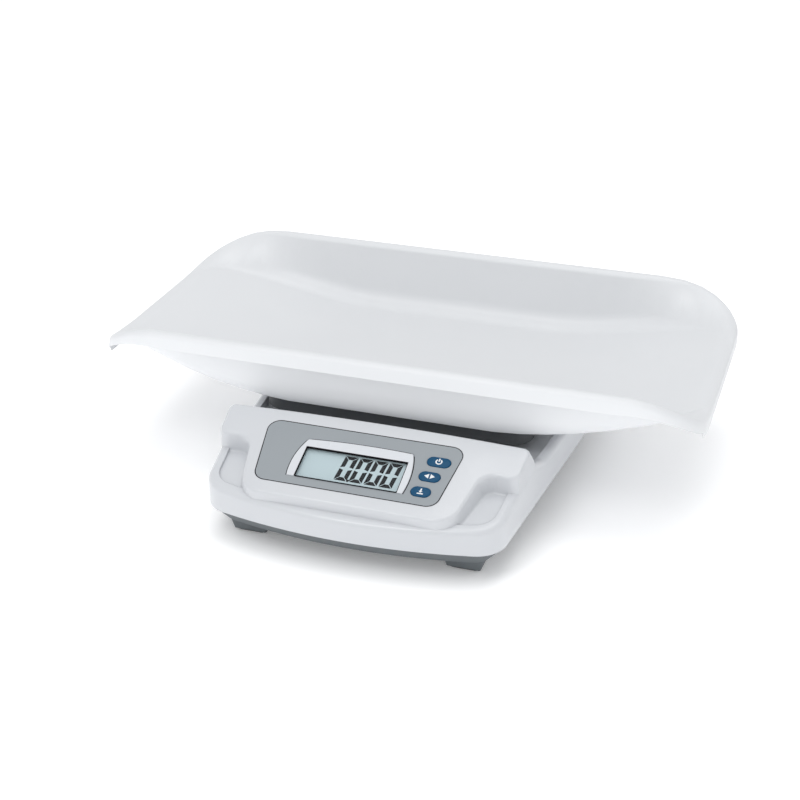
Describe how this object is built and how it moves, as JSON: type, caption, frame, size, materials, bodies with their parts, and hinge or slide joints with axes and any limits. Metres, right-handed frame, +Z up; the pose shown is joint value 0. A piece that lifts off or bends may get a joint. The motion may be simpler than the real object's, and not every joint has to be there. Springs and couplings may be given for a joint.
{
  "type": "baby weighing scale",
  "caption": "Infant weighing scale: a long dished tray with a rolled lip on a low base with a sloped display console.",
  "frame": {"origin": "on the floor under the middle of the whole scale", "axes": "+X along the tray to the side with the buttons, +Y away from the display to the back, +Z up"},
  "size_m": [0.551, 0.397, 0.137],
  "materials": {
    "white_plastic": "satin",
    "platform_plastic": "matte",
    "case_plastic": "matte",
    "pad_rubber": "matte",
    "panel_grey": "satin",
    "frame_plastic": "satin",
    "window_clear": "polished",
    "display_green": "satin",
    "holder_plastic": "matte",
    "button_blue": "satin",
    "circuit_green": "satin",
    "chip_black": "matte",
    "plug_white": "matte",
    "lead_grey": "matte",
    "cell_aluminium": "machined",
    "steel": "plated",
    "battery_jacket": "satin",
    "contact_metal": "plated"
  },
  "bodies": {
    "base": {"upper_shell": "white_plastic", "lower_case": "case_plastic", "foot_pads": "pad_rubber", "case_screws": "steel", "overload_stops": "steel", "display_panel": "panel_grey", "display_frame": "frame_plastic", "display_window": "window_clear", "lcd_glass": "display_green", "lcd_holder": "holder_plastic", "display_board": "circuit_green", "tact_switches": "chip_black", "board_screws": "steel", "main_board": "circuit_green", "main_chips": "chip_black", "buzzer": "chip_black", "wire_plugs": "plug_white", "cell_lead": "lead_grey", "display_ribbon": "lead_grey", "batteries": "battery_jacket", "battery_contacts": "contact_metal", "battery_springs": "contact_metal", "load_cell": "cell_aluminium", "gauge_covers": "plug_white", "cell_spacer_lower": "cell_aluminium", "cell_screws_lower": "steel"},
    "platform": {"platform": "platform_plastic", "platform_pads": "pad_rubber", "cell_spacer_upper": "cell_aluminium", "cell_screws_upper": "steel"},
    "tray": {"tray": "white_plastic"},
    "button_top": {"button_top": "button_blue"},
    "button_middle": {"button_middle": "button_blue"},
    "button_bottom": {"button_bottom": "button_blue"},
    "battery_door": {"battery_door": "case_plastic"}
  },
  "joints": [
    {"name": "weighing_travel", "type": "slide", "parent": "base", "child": "platform", "axis": [0, 0, -1], "range_m": [0, 0.0008], "stiffness_N_per_m": 40000, "springref_m": -0.0002, "deforming": ["load_cell"]},
    {"name": "tray_lift", "type": "slide", "parent": "platform", "child": "tray", "axis": [0, 0, 1], "range_m": [0, 0.15]},
    {"name": "button_top_press", "type": "slide", "parent": "base", "child": "button_top", "axis": [0, 0.3469, -0.9379], "range_m": [0, 0.0009], "stiffness_N_per_m": 1200, "springref_m": -0.0005},
    {"name": "button_middle_press", "type": "slide", "parent": "base", "child": "button_middle", "axis": [0, 0.3469, -0.9379], "range_m": [0, 0.0009], "stiffness_N_per_m": 1200, "springref_m": -0.0005},
    {"name": "button_bottom_press", "type": "slide", "parent": "base", "child": "button_bottom", "axis": [0, 0.3469, -0.9379], "range_m": [0, 0.0009], "stiffness_N_per_m": 1200, "springref_m": -0.0005},
    {"name": "door_removal", "type": "slide", "parent": "base", "child": "battery_door", "axis": [0, 0, -1], "range_m": [0, 0.05]}
  ]
}
